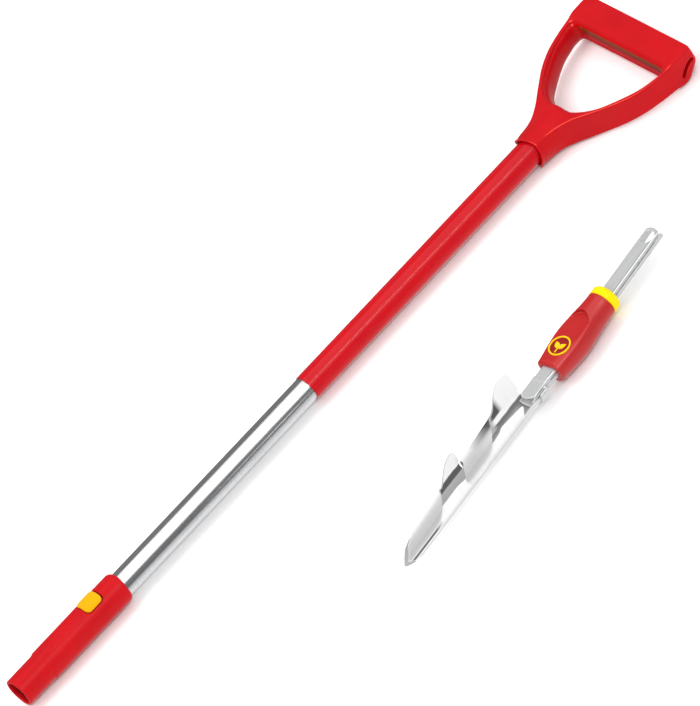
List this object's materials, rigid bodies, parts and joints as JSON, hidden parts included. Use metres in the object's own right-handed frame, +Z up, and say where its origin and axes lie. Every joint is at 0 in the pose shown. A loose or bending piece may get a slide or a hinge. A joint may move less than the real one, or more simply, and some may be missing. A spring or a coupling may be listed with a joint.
{
  "type": "bulb planter",
  "caption": "Long-handled bulb planter: D-grip handle with a press-button quick-release socket, beside its twist-in spiral trough head with a plug-in shank.",
  "frame": {"origin": "centre of the kit's footprint, on the plane it lies on", "axes": "+X along the handle shaft from the socket mouth towards the hand grip, +Z up from the plane the kit lies on, the planter head on the -Y side"},
  "size_m": [0.8496, 0.3272, 0.0378],
  "materials": {
    "red_moulding": "satin moulded plastic",
    "red_sleeve": "glossy plastic sleeve over the tube",
    "yellow_moulding": "fine-textured moulded plastic",
    "black_moulding": "matt moulded plastic",
    "bare_aluminium": "bright drawn tube",
    "satin_steel": "satin rolled steel",
    "polished_steel": "polished stainless sheet",
    "zinc_steel": "zinc-plated"
  },
  "bodies": {
    "handle": {"grip_yoke": "red_moulding", "grip_bar_cover": "red_moulding", "grip_plug_left": "black_moulding", "grip_plug_right": "black_moulding", "yoke_screw": "zinc_steel", "tube_top_plug": "black_moulding", "shaft_sleeve": "red_sleeve", "shaft_tube": "bare_aluminium", "socket_shell": "red_moulding", "socket_liner": "black_moulding", "socket_screw": "zinc_steel", "lever_pivot_pin": "zinc_steel", "lever_spring": "zinc_steel"},
    "catch": {"catch_lever": "zinc_steel", "release_button": "yellow_moulding"},
    "head": {"head_shank": "satin_steel", "head_sleeve": "red_moulding", "sleeve_badge": "yellow_moulding", "sleeve_pin": "zinc_steel", "collar_ring": "yellow_moulding", "blade": "polished_steel", "blade_rivet_lower": "satin_steel", "blade_rivet_upper": "satin_steel"}
  },
  "joints": [
    {"name": "button_rock", "type": "hinge", "parent": "handle", "child": "catch", "pos_m": [-0.33675, 0.09365, 0.0252], "axis": [0, 1, 0], "range_deg": [0, 5.5], "stiffness_Nm_per_rad": 0.6, "deforming": ["lever_spring"]},
    {"name": "head_lift", "type": "slide", "parent": "handle", "child": "head", "axis": [0, 0, 1], "range_m": [0, 0.15]}
  ]
}
